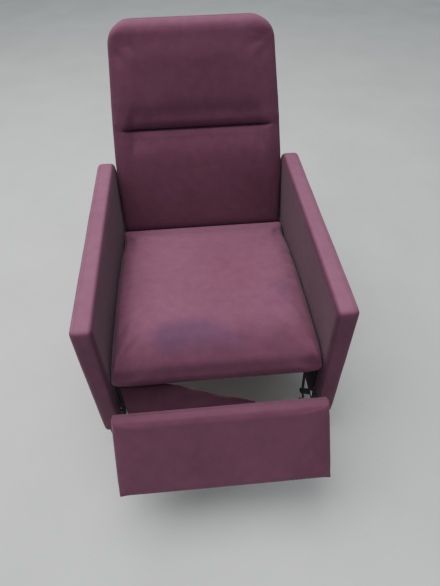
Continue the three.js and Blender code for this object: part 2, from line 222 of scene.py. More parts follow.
@dataclass(frozen=True)
class Timber:
    """Sawn or stained wood with grain along one axis."""

    name: str
    light: tuple[float, float, float]
    dark: tuple[float, float, float]
    stretch: tuple[float, float, float] = (1.0, 9.0, 9.0)
    roughness: float = 0.6

    def build(self) -> bpy.types.Material:
        """Make the material."""
        bench = NodeBench(self.name)
        lay = bench.add("Mapping", {"Vector": bench.place(), "Scale": self.stretch}).outputs[0]
        figure = bench.grain(11.0, 6.0, lay)
        pores = bench.grain(160.0, 3.0, lay)
        mix = bench.spread(bench.math("MULTIPLY_ADD", pores, 0.35, figure), 0.4, 0.95, 0.0, 1.0)
        bench.wire(bench.blend(mix, (*self.light, 1), (*self.dark, 1)), "Base Color")
        bench.wire(bench.spread(pores, 0.2, 0.8, self.roughness - 0.1, self.roughness + 0.15), "Roughness")
        bench.relief(pores, 0.3, 0.0002)
        return bench.material


@dataclass(frozen=True)
class Metalwork:
    """Painted or plated steel with handling marks."""

    name: str
    colour: tuple[float, float, float]
    metallic: float
    roughness: float
    scuff: tuple[float, float, float]

    def build(self) -> bpy.types.Material:
        """Make the material."""
        bench = NodeBench(self.name)
        marks = bench.spread(bench.grain(70.0, 6.0), 0.62, 0.78, 0.0, 0.7)
        bench.wire(bench.blend(marks, (*self.colour, 1), (*self.scuff, 1)), "Base Color")
        fine = bench.grain(240.0, 3.0)
        bench.wire(bench.spread(fine, 0.2, 0.8, self.roughness - 0.1, self.roughness + 0.15), "Roughness")
        bench.surface.inputs["Metallic"].default_value = self.metallic
        bench.relief(fine, 0.12, 0.0001)
        return bench.material


@dataclass(frozen=True)
class Ground:
    """Plain pale studio floor."""

    name: str = "pale_floor"
    colour: tuple[float, float, float] = (0.83, 0.85, 0.835)

    def build(self) -> bpy.types.Material:
        """Make the material."""
        bench = NodeBench(self.name)
        tone = bench.spread(bench.grain(3.0, 5.0), 0.3, 0.7, 0.0, 1.0)
        low = tuple(c * 0.9 for c in self.colour)
        bench.wire(bench.blend(tone, (*low, 1), (*self.colour, 1)), "Base Color")
        bench.surface.inputs["Roughness"].default_value = 0.9
        bench.surface.inputs["Specular IOR Level"].default_value = 0.1
        return bench.material


RECIPES = (
    Upholstery("burgundy_cloth", (0.118, 0.040, 0.069), (0.270, 0.102, 0.169)),
    Timber("frame_wood", (0.50, 0.33, 0.17), (0.30, 0.17, 0.075), (9.0, 1.0, 9.0), 0.75),
    Timber("dark_wood", (0.050, 0.026, 0.015), (0.014, 0.008, 0.006), (9.0, 9.0, 1.0), 0.42),
    Metalwork("black_steel", (0.010, 0.011, 0.013), 0.35, 0.42, (0.045, 0.045, 0.048)),
    Metalwork("zinc_steel", (0.70, 0.72, 0.74), 0.65, 0.30, (0.34, 0.35, 0.36)),
    Metalwork("black_nylon", (0.008, 0.008, 0.009), 0.0, 0.55, (0.03, 0.03, 0.032)))


@dataclass
class Finishes:
    """Every material of the chair, by the record's slot."""

    slots: dict[str, bpy.types.Material] = field(
        default_factory=lambda: {recipe.name: recipe.build() for recipe in RECIPES})


# ------------------------------------------------------------------------------------------ mesh work
def read_points(mesh: bpy.types.Mesh) -> Points:
    """The mesh's vertex positions as an array."""
    flat = np.empty(len(mesh.vertices) * 3, np.float32)
    mesh.vertices.foreach_get("co", flat)
    return flat.reshape(-1, 3).astype(float)


def write_points(mesh: bpy.types.Mesh, points: Points) -> None:
    """Put vertex positions back into the mesh."""
    mesh.vertices.foreach_set("co", points.astype(np.float32).ravel())
    mesh.update()


def read_normals(mesh: bpy.types.Mesh) -> Points:
    """The mesh's vertex normals as an array."""
    flat = np.empty(len(mesh.vertices) * 3, np.float32)
    mesh.vertex_normals.foreach_get("vector", flat)
    return flat.reshape(-1, 3).astype(float)


def ramp(value: Points, low: float, high: float) -> Points:
    """Smooth step from 0 at low to 1 at high."""
    t = np.clip((value - low) / (high - low), 0, 1)
    return t * t * (3 - 2 * t)


def bell(value: Points, centre: float, width: float) -> Points:
    """1 at the centre, falling away on both sides over about a width."""
    return np.exp(-((value - centre) / width) ** 2)


def blob(points: Points, centre: Vector, size: tuple[float, float, float]) -> Points:
    """Soft ellipsoid mask, 1 at its centre and 0 from about one size away."""
    d = (points - np.array(centre)) / np.array(size)
    return np.exp(-1.6 * (d * d).sum(1))


def ripple(points: Points, scale: float, seed: float) -> Points:
    """Smooth seeded noise from about -1 to 1 at each point."""
    shift = Vector((seed, seed * 1.7, seed * 0.3))
    return np.array([noise.noise(Vector(p) * scale + shift) for p in points])


def paint(mesh: bpy.types.Mesh, name: str, values: Points) -> None:
    """Store a float per point for the cloth to read."""
    layer = mesh.attributes.get(name) or mesh.attributes.new(name, "FLOAT", "POINT")
    layer.data.foreach_set("value", np.clip(values, 0, 1).astype(np.float32))


def from_bmesh(name: str, bm: bmesh.types.BMesh) -> bpy.types.Object:
    """Turn a bmesh into a smooth-shaded object at the origin and free it."""
    mesh = bpy.data.meshes.new(name)
    bm.to_mesh(mesh)
    bm.free()
    mesh.polygons.foreach_set("use_smooth", [True] * len(mesh.polygons))
    obj = bpy.data.objects.new(name, mesh)
    bpy.context.scene.collection.objects.link(obj)
    return obj


def block(size: Iterable[float], centre: Iterable[float]) -> bmesh.types.BMesh:
    """A plain closed block."""
    bm = bmesh.new()
    bmesh.ops.create_cube(bm, size=1.0)
    bmesh.ops.scale(bm, vec=size, verts=bm.verts)
    bmesh.ops.translate(bm, vec=centre, verts=bm.verts)
    return bm


def ease(bm: bmesh.types.BMesh, edges: list[bmesh.types.BMEdge], radius: float, segments: int) -> None:
    """Round some edges."""
    bmesh.ops.bevel(bm, geom=edges, offset=radius, segments=segments, profile=0.5, affect="EDGES",
                    material=-1)


def copy_of(node: str, name: str) -> bpy.types.Object:
    """A welded copy of a CAD node's mesh, as a new object.

    Args:
        node: the CAD node.
        name: the new piece's name.

    Returns:
        The new object, with no material.
    """
    bm = bmesh.new()
    bm.from_mesh(frame["nodes"][node].data)
    bmesh.ops.remove_doubles(bm, verts=bm.verts, dist=1e-5)
    obj = from_bmesh(name, bm)
    obj.data.materials.clear()
    return obj


def apply_modifiers(obj: bpy.types.Object) -> None:
    """Bake every modifier of a piece into its mesh."""
    graph = bpy.context.evaluated_depsgraph_get()
    baked = bpy.data.meshes.new_from_object(obj.evaluated_get(graph), depsgraph=graph)
    obj.modifiers.clear()
    obj.data = baked
    baked.polygons.foreach_set("use_smooth", [True] * len(baked.polygons))


def remesh(obj: bpy.types.Object, voxel: float) -> None:
    """Rebuild a closed piece as even quads.

    Args:
        obj: the piece.
        voxel: the size of a quad in metres.
    """
    step = obj.modifiers.new("even", "REMESH")
    step.mode, step.voxel_size, step.adaptivity = "VOXEL", voxel, 0.0
    apply_modifiers(obj)


def soften(obj: bpy.types.Object, rounds: int, amount: float = 0.5) -> None:
    """Relax the piece's surface."""
    step = obj.modifiers.new("soften", "SMOOTH")
    step.iterations, step.factor = rounds, amount
    apply_modifiers(obj)


def relax(obj: bpy.types.Object, where: Points, rounds: int) -> None:
    """Smooth part of the piece's surface.

    Args:
        obj: the piece.
        where: each point's share of the smoothing.
        rounds: how many times it is smoothed.
    """
    before = read_points(obj.data)
    soften(obj, rounds)
    share = np.clip(where, 0, 1)[:, None]
    write_points(obj.data, before * (1 - share) + read_points(obj.data) * share)


def subdivide(obj: bpy.types.Object) -> None:
    """One smooth subdivision, applied."""
    step = obj.modifiers.new("smooth", "SUBSURF")
    step.levels = step.render_levels = 1
    apply_modifiers(obj)


@dataclass(frozen=True)
class Stuffing:
    """How a sewn cover is blown up over its foam."""

    voxel: float = 0.0065
    start_inset: float = 0.004
    pressure: float = 4.0
    cap: float = 0.024
    frames: int = 20
    tension: float = 12.0

    def fill(self, obj: bpy.types.Object, freedom: Callable[[Points, Points], Points],
             carve: Callable[[Points], Points] | None = None) -> None:
        """Swell the cover by cloth simulation and bake the result.

        Args:
            obj: a closed piece; its mesh is replaced.
            freedom: gives each point's share of the movement, from its place and normal.
            carve: sinks sewn channels into the even mesh before it swells.
        """
        remesh(obj, self.voxel)
        soften(obj, 4)
        if carve:
            write_points(obj.data, carve(read_points(obj.data)))
        rest, normals = read_points(obj.data), read_normals(obj.data)
        share = freedom(rest, normals)[:, None]
        start = rest - normals * self.start_inset * share
        write_points(obj.data, start)
        swollen = self._simulate(obj, share[:, 0])
        move = swollen - start
        reach = np.linalg.norm(move, axis=1, keepdims=True) + 1e-9
        move *= self.cap * np.tanh(reach / self.cap) / reach
        write_points(obj.data, start + move * share)
        soften(obj, 2)
        subdivide(obj)

    def _simulate(self, obj: bpy.types.Object, share: Points) -> Points:
        """Run the cloth, sewn down wherever it has no share, and return where its points end."""
        sewn = obj.vertex_groups.new(name="sewn")
        sewn.add([int(i) for i in np.flatnonzero(share < 0.04)], 1.0, "REPLACE")
        cloth = obj.modifiers.new("cloth", "CLOTH")
        cloth.settings.vertex_group_mass = "sewn"
        cloth.settings.quality = 5
        cloth.settings.mass = 0.3
        cloth.settings.tension_stiffness = cloth.settings.compression_stiffness = self.tension
        cloth.settings.shear_stiffness = 5.0
        cloth.settings.bending_stiffness = 0.6
        cloth.settings.use_pressure = True
        cloth.settings.uniform_pressure_force = self.pressure
        cloth.settings.effector_weights.gravity = 0.0
        cloth.collision_settings.use_collision = False
        cloth.point_cache.frame_start, cloth.point_cache.frame_end = 1, self.frames
        scene = bpy.context.scene
        for step in range(1, self.frames + 1):
            scene.frame_set(step)
        graph = bpy.context.evaluated_depsgraph_get()
        baked = obj.evaluated_get(graph).to_mesh()
        points = read_points(baked)
        obj.evaluated_get(graph).to_mesh_clear()
        obj.modifiers.remove(cloth)
        obj.vertex_groups.remove(sewn)
        scene.frame_set(1)
        return points


def finish_piece(obj: bpy.types.Object, body: Body, finishes: Finishes, replaces: Iterable[str] = (),
                 slot: str = "burgundy_cloth") -> bpy.types.Object:
    """Give a piece its material and its body, and hide the CAD nodes that it replaces.

    Args:
        obj: the piece.
        body: what it moves with.
        finishes: the chair's materials.
        replaces: the CAD nodes that it stands for.
        slot: the record's material slot.

    Returns:
        The same piece.
    """
    obj.data.materials.clear()
    obj.data.materials.append(finishes.slots[slot])
    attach(obj, body.value)
    if replaces:
        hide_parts(*replaces)
    LOG.info("%s: %d faces on %s", obj.name, len(obj.data.polygons), body.value)
    return obj


def upward_fade_and_light(normals: Points, low: float = 0.25, high: float = 0.95, most: float = 0.85) -> Points:
    """How pale the cloth is made, from how far a point faces up: partly fading, partly painted light."""
    return most * ramp(normals[:, 2], low, high)


# ------------------------------------------------------------------------------------------ back frame
@dataclass(frozen=True)
class Lean:
    """The leaning plane of the back: X, depth behind the pads' front, height along the back."""

    foot: Vector = field(default_factory=lambda: mm(0, 635, 338))
    degrees: float = 17.0

    @property
    def matrix(self) -> Matrix:
        """The plane's own coordinates to the row frame."""
        return Matrix.Translation(self.foot) @ Matrix.Rotation(-math.radians(self.degrees), 4, "X")

    @property
    def height_axis(self) -> Points:
        """The plane's height direction in the row frame."""
        return np.array(self.matrix)[:3, 2]

    def inward(self, points: Points) -> Points:
        """Row-frame points in the plane's own coordinates."""
        m = np.array(self.matrix.inverted())
        return points @ m[:3, :3].T + m[:3, 3]

    def outward(self, points: Points) -> Points:
        """The plane's own coordinates as row-frame points."""
        m = np.array(self.matrix)
        return points @ m[:3, :3].T + m[:3, 3]


@dataclass(frozen=True)
class Tilt(Lean):
    """The footrest panel's plane: X, depth behind its board's back, height above its top edge."""

    foot: Vector = field(default_factory=lambda: mm(0, -63.41, 313.22))
    degrees: float = 34.7


LEAN = Lean()
TILT = Tilt()


# ------------------------------------------------------------------------------------------ upholstery
@dataclass(frozen=True)
class Crease:
    """A shallow slanting crease in the seat's top, placed by X and depth from the arms' front."""

    centre: tuple[float, float]
    slope: float
    depth: float
    width: float
    length: float

    def sink(self, x: Points, y: Points) -> Points:
        """How far the cloth sinks at each point."""
        off = (y - self.centre[1]) - self.slope * (x - self.centre[0])
        return self.depth * bell(off, 0.0, self.width) * bell(x, self.centre[0], self.length)


@dataclass(frozen=True)
class Mark:
    """A soft-edged mark on the cloth, in chair millimetres and metres of reach."""

    share: float
    centre: tuple[float, float, float]
    size: tuple[float, float, float]

    def cover(self, points: Points) -> Points:
        """How strongly the mark covers each point."""
        return self.share * blob(points, mm(*self.centre), self.size)


@dataclass
class SeatCushion:
    """The crowned seat cushion with its rolled front and its soiling."""

    finishes: Finishes
    side_limit: float = 0.2756
    rail_limit: float = 0.2718
    front_limit: float = -0.026
    rear_limit: float = 0.6235
    sat_dip: float = 0.008
    nose_roll: float = 0.010
    hem_drop: float = 0.011
    brow_drop: float = 0.007
    stuffing: Stuffing = Stuffing(cap=0.018)
    creases: tuple[Crease, ...] = (Crease((0.17, 0.23), 0.75, 0.0022, 0.012, 0.07),
                                   Crease((-0.02, 0.09), -0.35, 0.0016, 0.014, 0.12))
    spills: tuple[Mark, ...] = (Mark(1.0, (-62, 96, 430), (0.125, 0.062, 0.08)),
                                Mark(0.7, (-120, 70, 420), (0.06, 0.05, 0.08)),
                                Mark(0.55, (40, 60, 420), (0.10, 0.045, 0.08)),
                                Mark(0.62, (205, 235, 420), (0.055, 0.08, 0.08)),
                                Mark(0.42, (150, 165, 420), (0.07, 0.035, 0.08)))
    warmth: Mark = Mark(0.8, (60, 330, 420), (0.13, 0.16, 0.1))

    def build(self) -> bpy.types.Object:
        """Make, swell and dress the cushion."""
        obj = copy_of("seat_cushion", "seat_cushion_cover")
        self.stuffing.fill(obj, self._freedom)
        self._shape(obj)
        self._paint_marks_and_light(obj)
        finish_piece(obj, Body.SEAT, self.finishes, ["seat_cushion"])
        return obj

    def _freedom(self, points: Points, normals: Points) -> Points:
        """Free on top and in front, held underneath and at the back."""
        up = ramp(normals[:, 2], -0.35, 0.3)
        front = ramp(-normals[:, 1], 0.05, 0.8) * ramp(points[:, 2], 0.345, 0.375)
        rear = 1 - ramp(points[:, 1], SHIFT + 0.54, SHIFT + 0.615)
        return np.clip(np.maximum(up * 0.9, front * 0.8) * (0.2 + 0.8 * rear), 0, 1)

    def _shape(self, obj: bpy.types.Object) -> None:
        """Round the front, dip the middle and fill the width between the arms."""
        p = read_points(obj.data)
        p[:, 0] *= self.side_limit / np.abs(p[:, 0]).max()
        y = p[:, 1] - SHIFT
        across = np.clip(np.abs(p[:, 0]) / self.side_limit, 0, 1)
        top = ramp(p[:, 2], 0.35, 0.40)
        p[:, 2] -= self.sat_dip * bell(y, 0.34, 0.17) * bell(p[:, 0], 0.0, 0.17) * top
        self._roll_front(p, y, across, top)
        p[:, 2] -= 0.004 * ramp(across, 0.86, 1.0) * top
        p[:, 2] += 0.0010 * ripple(p, 14.0, 3.1) * top
        p[:, 2] -= self.brow_drop * (1 - ramp(y, -0.01, 0.07)) * top
        for crease in self.creases:
            p[:, 2] -= crease.sink(p[:, 0], y) * top
        p[:, 1] += 0.006 * ramp(y, 0.56, 0.61) * ramp(p[:, 2], 0.31, 0.34)
        p[:, 0] = np.clip(p[:, 0], -self.side_limit, self.side_limit)
        p[:, 1] = np.clip(p[:, 1], SHIFT + self.front_limit, SHIFT + self.rear_limit)
        write_points(obj.data, p)
        self._settle(obj, y, across, top)

    def _roll_front(self, p: Points, y: Points, across: Points, top: Points) -> None:
        """Round the nose, tuck its corners and let the hem hang.

        Args:
            p: the points, moved in place.
            y: each point's depth behind the arms' front plane before it moves.
            across: each point's share of the half width.
            top: how far each point belongs to the top.
        """
        height = np.clip((p[:, 2] - 0.338) / 0.075, 0, 1)
        nose = np.sin(np.pi * height ** 0.8) * (1 - ramp(y, -0.02, 0.06))
        p[:, 1] -= self.nose_roll * nose * (1 - 0.5 * ramp(across, 0.8, 1.0))
        p[:, 1] += 0.005 * ramp(across, 0.90, 1.0) * (1 - ramp(y, 0.0, 0.05)) * (1 - top)
        p[:, 2] -= self.hem_drop * (1 - ramp(y, 0.015, 0.065)) * (1 - ramp(p[:, 2], 0.345, 0.39))

    def _settle(self, obj: bpy.types.Object, y: Points, across: Points, top: Points) -> None:
        """Relax the sides and the nose, then keep the cover between the arms and the rails."""
        soften(obj, 3)
        ends = np.maximum(1 - ramp(y, 0.10, 0.24), ramp(y, 0.46, 0.54))
        sides = ramp(across, 0.45, 0.70) * (1 - ramp(across, 0.96, 0.995))
        relax(obj, sides * top * (0.3 + 0.7 * ends), 36)
        relax(obj, (1 - ramp(y, 0.03, 0.08)) * (1 - ramp(across, 0.90, 0.965)), 40)
        p = read_points(obj.data)
        reach = self.rail_limit + (self.side_limit - self.rail_limit) * ramp(p[:, 2], 0.304, 0.322)
        p[:, 0] = np.clip(p[:, 0], -reach, reach)
        write_points(obj.data, p)

    def _paint_marks_and_light(self, obj: bpy.types.Object) -> None:
        """Paint the paleness on up-facing faces, fading plus painted light, and the marks left by use."""
        p, n = read_points(obj.data), read_normals(obj.data)
        warp = ripple(p, 13.0, 7.0)
        y = p[:, 1] - SHIFT
        used = 0.55 + 0.45 * ramp(y + 0.035 * warp, 0.02, 0.17)
        paint(obj.data, "fade_and_light", upward_fade_and_light(n, 0.35, 0.99, 0.74) * used + 0.06 * ripple(p, 7.0, 1.0))
        spill = sum(mark.cover(p) for mark in self.spills)
        paint(obj.data, "stain", ramp(spill + 0.12 * warp, 0.15, 1.15) * 0.62)
        edge = ramp(p[:, 0], 0.235, 0.262) * ramp(0.42 - y, 0.0, 0.15)
        warm = self.warmth.cover(p) + 0.8 * edge
        paint(obj.data, "rust", warm * (0.7 + 0.3 * warp) * 0.30)


@dataclass
class BackPads:
    """The inside back, one cover over two pads with a sewn channel, and the cloth behind."""

    finishes: Finishes
    channel: float = 0.334
    bottom: float = 0.005
    top: float = 0.640
    rear: float = 0.0838
    corner: float = 0.061
    edge: float = 0.017
    block_half: float = 0.25
    front_drop: float = 0.017
    puckers: tuple[tuple[float, float, float, float], ...] = (
        (0.192, 0.590, 0.35, 0.026), (0.205, 0.566, 0.30, 0.018), (-0.185, 0.572, -0.30, 0.020),
        (0.235, 0.338, 0.12, 0.020))
    stuffing: Stuffing = Stuffing(voxel=0.0058, cap=0.010, pressure=4.0, start_inset=0.003)

    def build(self) -> None:
        """Make the inside and the outside of the back."""
        self._inside()
        self._outside()

    def _half_width(self, v: Points) -> Points:
        """The cover's half width at a height along the back."""
        return np.interp(v, (0.0, 0.115, 0.16, 0.235, 0.335, 0.644),
                         (0.2718, 0.2720, 0.2750, 0.2745, 0.2685, 0.2415))

    def _inside(self) -> None:
        """Make, sew and swell the cover over the lumbar and head pads."""
        bm = block((2.0, self.rear, self.top - self.bottom), (0, self.rear / 2, (self.top + self.bottom) / 2))
        corners = [e for e in bm.edges if all(v.co.z > 0.5 and v.co.x * e.verts[0].co.x > 0 for v in e.verts)]
        for vert in bm.verts:
            vert.co.x = math.copysign(self.block_half, vert.co.x)
        ease(bm, corners, self.corner, 14)
        rim = [e for e in bm.edges if all(v.co.y < 1e-4 for v in e.verts)]
        ease(bm, rim, self.edge, 5)
        bmesh.ops.recalc_face_normals(bm, faces=bm.faces)
        bm.transform(LEAN.matrix)
        obj = from_bmesh("inside_back_cover", bm)
        self.stuffing.fill(obj, self._freedom, self._carve)
        p = self._dress(LEAN.inward(read_points(obj.data)))
        write_points(obj.data, LEAN.outward(p))
        roll = bell(p[:, 2], self.channel + 0.044, 0.021)
        ends = ramp(p[:, 2], 0.40, 0.50) + roll + 1 - ramp(p[:, 2], 0.06, 0.12)
        relax(obj, ends * (1 - ramp(p[:, 1], 0.03, 0.06)), 32)
        world, n = read_points(obj.data), read_normals(obj.data)
        p = LEAN.inward(world)
        lumbar = 1 - ramp(p[:, 2], 0.28, 0.42)
        fade_and_light = upward_fade_and_light(n, 0.25, 0.95, 0.50) + 0.03 * ripple(world, 8.0, 2.0)
        # Paler over the lumbar; the roll term is painted light, lifting the shade where the head pad's lower
        # roll faces down.
        paint(obj.data, "fade_and_light", fade_and_light + 0.08 + 0.07 * lumbar + 0.07 * roll)
        # Painted shade along the sewn channel, deepening its shadow.
        paint(obj.data, "seam_and_shade", bell(p[:, 2], self.channel, 0.006) * self._sewn(p[:, 0]))
        paint(obj.data, "rust", 0.06 * blob(p, Vector((0.02, 0.0, 0.24)), (0.2, 0.2, 0.12)))
        finish_piece(obj, Body.BACK, self.finishes, ["lumbar_cushion", "head_cushion"])

    def _sewn(self, x: Points) -> Points:
        """How deep the channel is across the back; it runs out before the sides."""
        return 1 - ramp(np.abs(x), 0.200, 0.246)

    def _carve(self, points: Points) -> Points:
        """Spread the block to its width, step the head pad forward and sink the channel."""
        p = LEAN.inward(points)
        x, w, v = p[:, 0].copy(), p[:, 1].copy(), p[:, 2].copy()
        front = 1 - ramp(w, 0.010, 0.060)
        p[:, 0] = x * self._half_width(v) / self.block_half
        p[:, 1] -= front * 0.006 * ramp(v, self.channel, self.channel + 0.03)
        p[:, 1] += front * 0.008 * ramp(v, 0.60, 0.645) ** 1.4
        p[:, 1] += front * 0.018 * bell(v, self.channel, 0.0085) * self._sewn(p[:, 0])
        return LEAN.outward(p)

    def _freedom(self, points: Points, normals: Points) -> Points:
        """Free in front, sewn down along the channel, held at the back and sides."""
        p = LEAN.inward(points)
        front = 1 - ramp(p[:, 1], 0.022, 0.062)
        side = 1 - ramp(np.abs(p[:, 0]) / self._half_width(p[:, 2]), 0.90, 0.995)
        low = 0.15 + 0.85 * ramp(p[:, 2], 0.0, 0.20)
        sewn = 1 - np.exp(-((p[:, 2] - self.channel) / 0.007) ** 4) * self._sewn(p[:, 0])
        crown = 1 - 0.8 * ramp(p[:, 2], 0.53, 0.60)
        return np.clip(front * (0.12 + 0.88 * side) * low * sewn * crown, 0, 1)

    def _dress(self, p: Points) -> Points:
        """Sharpen the channel, pucker the upper corners and close the bottom on the seat."""
        x, v = p[:, 0].copy(), p[:, 2].copy()
        front = 1 - ramp(p[:, 1], 0.01, 0.05)
        p[:, 1] += front * 0.013 * bell(v, self.channel, 0.0040) * self._sewn(x)
        fuller = ramp(v, self.channel, self.channel + 0.024) - ramp(v, self.channel, self.channel + 0.062)
        p[:, 1] -= front * 0.0075 * fuller * self._sewn(x)
        p[:, 2] -= front * 0.004 * bell(v, self.channel + 0.010, 0.008) * self._sewn(x)
        for cx, cv, lean, size in self.puckers:
            off = (v - cv) + lean * (x - cx)
            p[:, 1] += front * 0.0011 * np.exp(-(off / 0.0045) ** 2 - ((x - cx) / size) ** 2)
        fore = 1 - ramp(p[:, 1], 0.03, 0.06)
        p[:, 2] -= self.front_drop * fore * (1 - ramp(v, 0.0, 0.06))
        limit = self._half_width(v) + 0.0004
        p[:, 0] = np.clip(x, -limit, limit)
        p[:, 1] = np.minimum(p[:, 1], self.rear)
        return p

    def _outside(self) -> None:
        """The cloth over the outside of the back."""
        obj = copy_of("outside_back", "outside_back_cover")
        remesh(obj, 0.0042)
        soften(obj, 5)
        p = LEAN.inward(read_points(obj.data))
        rim = np.maximum(np.abs(p[:, 0]) / 0.262, np.abs(p[:, 2] - 0.32) / 0.315)
        paint(obj.data, "seam_and_shade", 0.5 * np.exp(-((rim - 0.985) / 0.006) ** 2) * ramp(p[:, 1], 0.118, 0.124))
        n = read_normals(obj.data)
        paint(obj.data, "fade_and_light", upward_fade_and_light(n, 0.2, 0.9, 0.6) + 0.08)
        finish_piece(obj, Body.BACK, self.finishes, ["outside_back"])


@dataclass
class ArmCover:
    """One firm slab arm: an even shell of cloth over its plywood frame."""

    finishes: Finishes
    side: Side
    skin: float = 0.0075
    voxel: float = 0.0052
    rear_corner: float = 0.044
    front_corner: float = 0.013
    edge: float = 0.0115
    seam_inset: float = 0.0125
    inner_painted_shade: float = 0.55

    def build(self) -> bpy.types.Object:
        """Make and dress the arm."""
        node = f"{self.side.word}_arm_cover"
        lo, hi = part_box(node)
        obj = from_bmesh(f"{self.side.word}_arm_upholstery", self._block(lo, hi))
        remesh(obj, self.voxel)
        soften(obj, 3)
        self._crown(obj, lo, hi)
        self._open_below(obj, lo)
        p, n = read_points(obj.data), read_normals(obj.data)
        # Paler on up-facing faces and in a band along the rounded top edge: fading plus painted light.
        fade_and_light = upward_fade_and_light(n, 0.35, 0.97, 0.95) + 0.05 * ripple(p, 7.0, 4.0 + self.side.value)
        edge = bell(p[:, 2], hi.z - 0.012, 0.006)
        paint(obj.data, "fade_and_light", fade_and_light + 0.08 + 0.10 * edge)
        # A dark stitched line under the outer top edge, and painted shade on the inner face.
        paint(obj.data, "seam_and_shade", self._seam_and_painted_shade(p, lo, hi))
        finish_piece(obj, Body.BASE, self.finishes, [node])
        return obj

    def _block(self, lo: Vector, hi: Vector) -> bmesh.types.BMesh:
        """The arm as a block with its corners and edges rounded.

        Args:
            lo: the node's lowest corner.
            hi: the node's highest corner.

        Returns:
            The closed block.
        """
        bm = block(hi - lo, (lo + hi) / 2)
        for top_y, radius in ((hi.y, self.rear_corner), (lo.y, self.front_corner)):
            edges = [e for e in bm.edges if all(abs(v.co.y - top_y) < 1e-4 and abs(v.co.z - hi.z) < 1e-4
                                                for v in e.verts)]
            ease(bm, edges, radius, 6)
        rims = [e for e in bm.edges if any(all(abs(v.co.x - x) < 1e-4 for v in e.verts) for x in (lo.x, hi.x))
                and not all(abs(v.co.z - lo.z) < 1e-4 for v in e.verts)]
        ease(bm, rims, self.edge, 5)
        bmesh.ops.recalc_face_normals(bm, faces=bm.faces)
        return bm

    def _crown(self, obj: bpy.types.Object, lo: Vector, hi: Vector) -> None:
        """Swell the faces a little between their edges, less on the seat's side."""
        p, n = read_points(obj.data), read_normals(obj.data)
        u = (p[:, 1] - lo.y) / (hi.y - lo.y)
        w = (p[:, 2] - lo.z) / (hi.z - lo.z)
        body = np.sqrt(np.clip(16 * u * (1 - u) * w * (1 - w), 0, 1))
        outer = n[:, 0] * self.side.value
        p[:, 0] += self.side.value * 0.0028 * body * ramp(outer, 0.4, 0.9)
        ends = np.clip(4 * u * (1 - u), 0, 1) ** 0.5
        p[:, 2] += 0.0022 * ends * ramp(n[:, 2], 0.5, 0.95)
        p[:, 1] -= 0.0015 * np.clip(4 * w * (1 - w), 0, 1) * ramp(-n[:, 1], 0.5, 0.95)
        dent = 0.0007 * ripple(p, 11.0, 9.0 * self.side.value)
        write_points(obj.data, p + n * dent[:, None])

    def _open_below(self, obj: bpy.types.Object, lo: Vector) -> None:
        """Cut the underside away and give the cloth and foam their thickness."""
        bm = bmesh.new()
        bm.from_mesh(obj.data)
        plane = Vector((0, 0, lo.z + 0.0012))
        bmesh.ops.bisect_plane(bm, geom=bm.verts[:] + bm.edges[:] + bm.faces[:], plane_co=plane,
                               plane_no=(0, 0, -1), clear_outer=True, dist=1e-6)
        bm.to_mesh(obj.data)
        bm.free()
        wall = obj.modifiers.new("wall", "SOLIDIFY")
        wall.thickness, wall.offset, wall.use_rim = self.skin, -1.0, True
        apply_modifiers(obj)

    def _seam_and_painted_shade(self, p: Points, lo: Vector, hi: Vector) -> Points:
        """A dark stitched line under the outer top edge, and painted shade over the whole inner face."""
        outward = self.side.value * p[:, 0]
        outer_face, middle = max(abs(lo.x), abs(hi.x)), abs(lo.x + hi.x) / 2
        stitched = bell(outward, outer_face - self.seam_inset, 0.0016)
        stitched *= ramp(p[:, 2], hi.z - 0.02, hi.z - 0.004)
        inner = 1 - ramp(outward, middle - 0.022, middle - 0.018)
        return 0.22 * stitched + self.inner_painted_shade * inner


